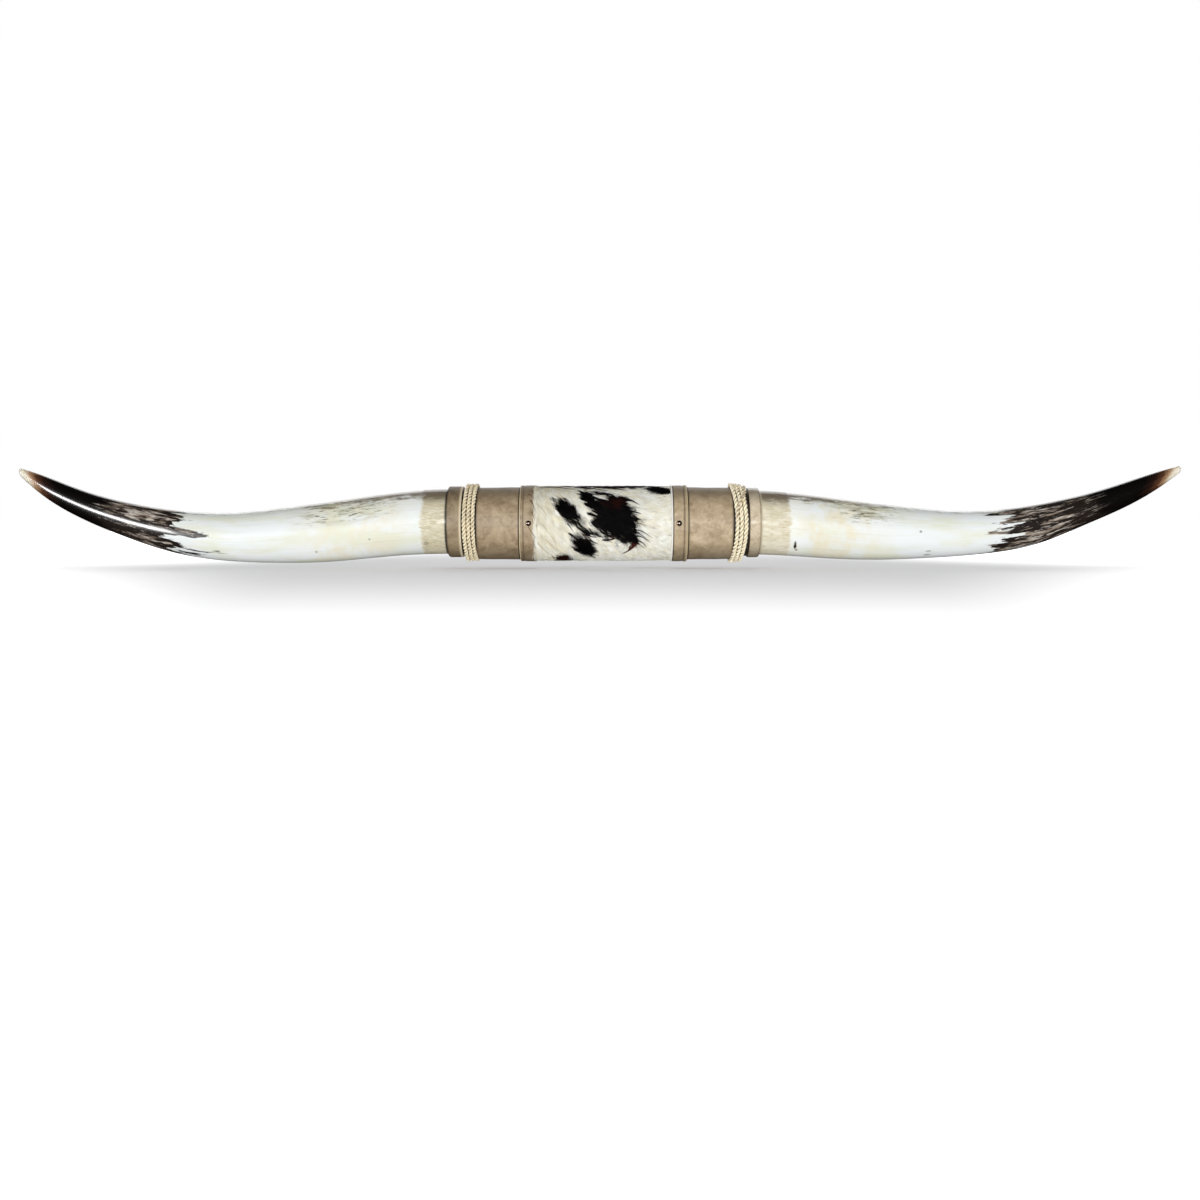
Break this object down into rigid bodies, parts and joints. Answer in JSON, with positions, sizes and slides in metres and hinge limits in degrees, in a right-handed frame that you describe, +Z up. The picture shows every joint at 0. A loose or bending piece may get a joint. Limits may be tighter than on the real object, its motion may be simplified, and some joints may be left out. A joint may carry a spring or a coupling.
{
  "type": "mounted longhorn horns",
  "caption": "Long polished steer horns on a wooden core wrapped in cowhide and leather, bound with rope, to hang on a wall by a keyhole plate.",
  "frame": {"origin": "on the wall, at the middle of the hanger plate's flat back, on the level of the core's axis", "axes": "+X along the horns to the viewer's right, +Y into the wall, +Z up; the front faces -Y"},
  "size_m": [1.5251, 0.1073, 0.1265],
  "materials": {
    "horn": "polished natural horn, white to cream with grey-brown streaks and dark tips",
    "wood": "plain turned wood",
    "cowhide": "cowhide with short white hair and black spots",
    "leather": "mottled taupe leather with dark worn edges",
    "rope": "twisted natural fibre rope",
    "tack": "domed upholstery tack in dark antique bronze",
    "steel": "zinc-plated pressed steel"
  },
  "bodies": {
    "root": {"left_horn": "horn", "right_horn": "horn", "wood_core": "wood", "cowhide_wrap": "cowhide", "left_sleeve": "leather", "right_sleeve": "leather", "left_strap": "leather", "right_strap": "leather", "left_collar": "leather", "right_collar": "leather", "left_rope": "rope", "right_rope": "rope", "left_tack_front": "tack", "right_tack_front": "tack", "left_tack_back": "tack", "right_tack_back": "tack", "hanger_plate": "steel", "left_hanger_screw": "steel", "right_hanger_screw": "steel"}
  },
  "joints": []
}
